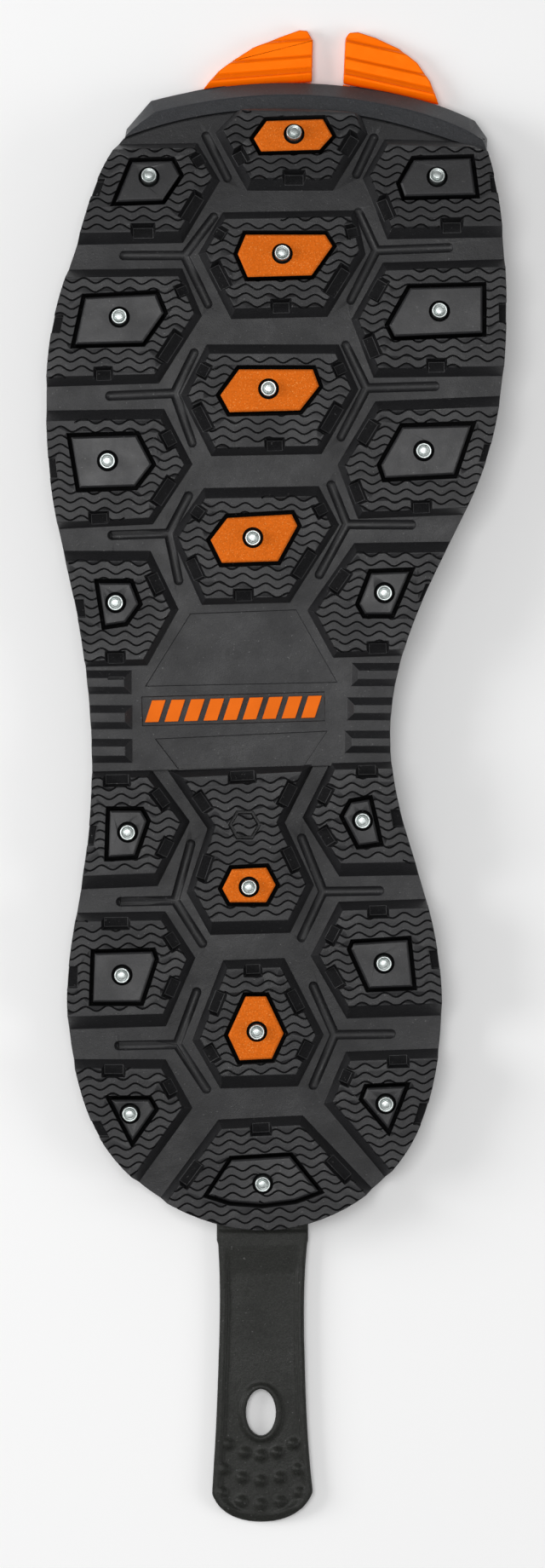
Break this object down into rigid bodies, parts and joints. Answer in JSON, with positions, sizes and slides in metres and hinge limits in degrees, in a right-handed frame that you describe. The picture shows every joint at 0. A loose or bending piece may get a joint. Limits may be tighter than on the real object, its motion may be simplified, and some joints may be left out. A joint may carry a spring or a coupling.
{
  "type": "studded boot outsole",
  "caption": "Rubber outsole for an ice boot with steel studs on sprung pods, a split toe tab and a heel strap with an eyelet.",
  "frame": {"origin": "bottom centre of the bounding box, lying tread side up on the boot face's toe and heel ends", "axes": "+X across the foot, towards the side of the right-hand lugs, +Y towards the toe, +Z out of the tread"},
  "size_m": [0.1173, 0.3846, 0.0262],
  "materials": {
    "tread_rubber": "satin moulded rubber with fine grain",
    "bumper_rubber": "satin rubber, finely grained",
    "inlay_orange": "satin",
    "plate_plastic": "matte moulded",
    "tab_orange": "glossy moulded rubber",
    "strap_rubber": "satin dark grey-green rubber",
    "pod_orange": "satin, sandy",
    "pod_black": "satin rubber",
    "stud_steel": "bright zinc, with a darker hard pin"
  },
  "bodies": {
    "sole": {"tread_rubber": "tread_rubber", "arch_inlay": "inlay_orange", "toe_bumper": "bumper_rubber", "carrier_plate": "plate_plastic", "toe_tab_base": "tab_orange", "heel_strap_anchor": "strap_rubber"},
    "toe_tab_left": {"toe_tab_left": "tab_orange"},
    "toe_tab_right": {"toe_tab_right": "tab_orange"},
    "heel_strap": {"heel_strap": "strap_rubber"},
    "pod_center_1": {"pod_center_1": "pod_orange", "stud_center_1": "stud_steel"},
    "pod_left_1": {"pod_left_1": "pod_black", "stud_left_1": "stud_steel"},
    "pod_right_1": {"pod_right_1": "pod_black", "stud_right_1": "stud_steel"},
    "pod_center_2": {"pod_center_2": "pod_orange", "stud_center_2": "stud_steel"},
    "pod_left_2": {"pod_left_2": "pod_black", "stud_left_2": "stud_steel"},
    "pod_right_2": {"pod_right_2": "pod_black", "stud_right_2": "stud_steel"},
    "pod_center_3": {"pod_center_3": "pod_orange", "stud_center_3": "stud_steel"},
    "pod_left_3": {"pod_left_3": "pod_black", "stud_left_3": "stud_steel"},
    "pod_right_3": {"pod_right_3": "pod_black", "stud_right_3": "stud_steel"},
    "pod_center_4": {"pod_center_4": "pod_orange", "stud_center_4": "stud_steel"},
    "pod_left_4": {"pod_left_4": "pod_black", "stud_left_4": "stud_steel"},
    "pod_right_4": {"pod_right_4": "pod_black", "stud_right_4": "stud_steel"},
    "pod_heel_left_1": {"pod_heel_left_1": "pod_black", "stud_heel_left_1": "stud_steel"},
    "pod_heel_right_1": {"pod_heel_right_1": "pod_black", "stud_heel_right_1": "stud_steel"},
    "pod_heel_center_1": {"pod_heel_center_1": "pod_orange", "stud_heel_center_1": "stud_steel"},
    "pod_heel_left_2": {"pod_heel_left_2": "pod_black", "stud_heel_left_2": "stud_steel"},
    "pod_heel_right_2": {"pod_heel_right_2": "pod_black", "stud_heel_right_2": "stud_steel"},
    "pod_heel_center_2": {"pod_heel_center_2": "pod_orange", "stud_heel_center_2": "stud_steel"},
    "pod_heel_left_3": {"pod_heel_left_3": "pod_black", "stud_heel_left_3": "stud_steel"},
    "pod_heel_right_3": {"pod_heel_right_3": "pod_black", "stud_heel_right_3": "stud_steel"},
    "pod_heel_back": {"pod_heel_back": "pod_black", "stud_heel_back": "stud_steel"}
  },
  "joints": [
    {"name": "toe_tab_left_flex", "type": "hinge", "parent": "sole", "child": "toe_tab_left", "pos_m": [-0.0054, 0.17989, 0.0024], "axis": [0.9971, 0.0767, 0], "range_deg": [-8, 15], "stiffness_Nm_per_rad": 0.3},
    {"name": "toe_tab_right_flex", "type": "hinge", "parent": "sole", "child": "toe_tab_right", "pos_m": [0.03016, 0.17779, 0.0024], "axis": [0.9766, -0.2149, 0], "range_deg": [-8, 15], "stiffness_Nm_per_rad": 0.3},
    {"name": "heel_strap_fold", "type": "hinge", "parent": "sole", "child": "heel_strap", "pos_m": [-0.004, -0.118, 0.0018], "axis": [1, 0, 0], "range_deg": [-20, 95], "stiffness_Nm_per_rad": 0.03},
    {"name": "pod_center_1_give", "type": "slide", "parent": "sole", "child": "pod_center_1", "axis": [0, 0.1842, 0.9829], "range_m": [-0.0012, 0], "stiffness_N_per_m": 20000},
    {"name": "pod_left_1_give", "type": "slide", "parent": "sole", "child": "pod_left_1", "axis": [0, 0.1527, 0.9883], "range_m": [-0.0012, 0], "stiffness_N_per_m": 20000},
    {"name": "pod_right_1_give", "type": "slide", "parent": "sole", "child": "pod_right_1", "axis": [0, 0.1527, 0.9883], "range_m": [-0.0012, 0], "stiffness_N_per_m": 20000},
    {"name": "pod_center_2_give", "type": "slide", "parent": "sole", "child": "pod_center_2", "axis": [0, 0.097, 0.9953], "range_m": [-0.0012, 0], "stiffness_N_per_m": 20000},
    {"name": "pod_left_2_give", "type": "slide", "parent": "sole", "child": "pod_left_2", "axis": [0, 0.0513, 0.9987], "range_m": [-0.0012, 0], "stiffness_N_per_m": 20000},
    {"name": "pod_right_2_give", "type": "slide", "parent": "sole", "child": "pod_right_2", "axis": [0, 0.0556, 0.9985], "range_m": [-0.0012, 0], "stiffness_N_per_m": 20000},
    {"name": "pod_center_3_give", "type": "slide", "parent": "sole", "child": "pod_center_3", "axis": [0, -0.0001, 1], "range_m": [-0.0012, 0], "stiffness_N_per_m": 20000},
    {"name": "pod_left_3_give", "type": "slide", "parent": "sole", "child": "pod_left_3", "axis": [0, -0.0515, 0.9987], "range_m": [-0.0012, 0], "stiffness_N_per_m": 20000},
    {"name": "pod_right_3_give", "type": "slide", "parent": "sole", "child": "pod_right_3", "axis": [0, -0.0444, 0.999], "range_m": [-0.0012, 0], "stiffness_N_per_m": 20000},
    {"name": "pod_center_4_give", "type": "slide", "parent": "sole", "child": "pod_center_4", "axis": [0, -0.0558, 0.9984], "range_m": [-0.0012, 0], "stiffness_N_per_m": 20000},
    {"name": "pod_left_4_give", "type": "slide", "parent": "sole", "child": "pod_left_4", "axis": [0, -0.0558, 0.9984], "range_m": [-0.0012, 0], "stiffness_N_per_m": 20000},
    {"name": "pod_right_4_give", "type": "slide", "parent": "sole", "child": "pod_right_4", "axis": [0, -0.0558, 0.9984], "range_m": [-0.0012, 0], "stiffness_N_per_m": 20000},
    {"name": "pod_heel_left_1_give", "type": "slide", "parent": "sole", "child": "pod_heel_left_1", "axis": [0, -0.0558, 0.9984], "range_m": [-0.0012, 0], "stiffness_N_per_m": 20000},
    {"name": "pod_heel_right_1_give", "type": "slide", "parent": "sole", "child": "pod_heel_right_1", "axis": [0, -0.0558, 0.9984], "range_m": [-0.0012, 0], "stiffness_N_per_m": 20000},
    {"name": "pod_heel_center_1_give", "type": "slide", "parent": "sole", "child": "pod_heel_center_1", "axis": [0, -0.0558, 0.9984], "range_m": [-0.0012, 0], "stiffness_N_per_m": 20000},
    {"name": "pod_heel_left_2_give", "type": "slide", "parent": "sole", "child": "pod_heel_left_2", "axis": [0, -0.0558, 0.9984], "range_m": [-0.0012, 0], "stiffness_N_per_m": 20000},
    {"name": "pod_heel_right_2_give", "type": "slide", "parent": "sole", "child": "pod_heel_right_2", "axis": [0, -0.0558, 0.9984], "range_m": [-0.0012, 0], "stiffness_N_per_m": 20000},
    {"name": "pod_heel_center_2_give", "type": "slide", "parent": "sole", "child": "pod_heel_center_2", "axis": [0, -0.0558, 0.9984], "range_m": [-0.0012, 0], "stiffness_N_per_m": 20000},
    {"name": "pod_heel_left_3_give", "type": "slide", "parent": "sole", "child": "pod_heel_left_3", "axis": [0, -0.0558, 0.9984], "range_m": [-0.0012, 0], "stiffness_N_per_m": 20000},
    {"name": "pod_heel_right_3_give", "type": "slide", "parent": "sole", "child": "pod_heel_right_3", "axis": [0, -0.0558, 0.9984], "range_m": [-0.0012, 0], "stiffness_N_per_m": 20000},
    {"name": "pod_heel_back_give", "type": "slide", "parent": "sole", "child": "pod_heel_back", "axis": [0, -0.0558, 0.9984], "range_m": [-0.0012, 0], "stiffness_N_per_m": 20000}
  ]
}
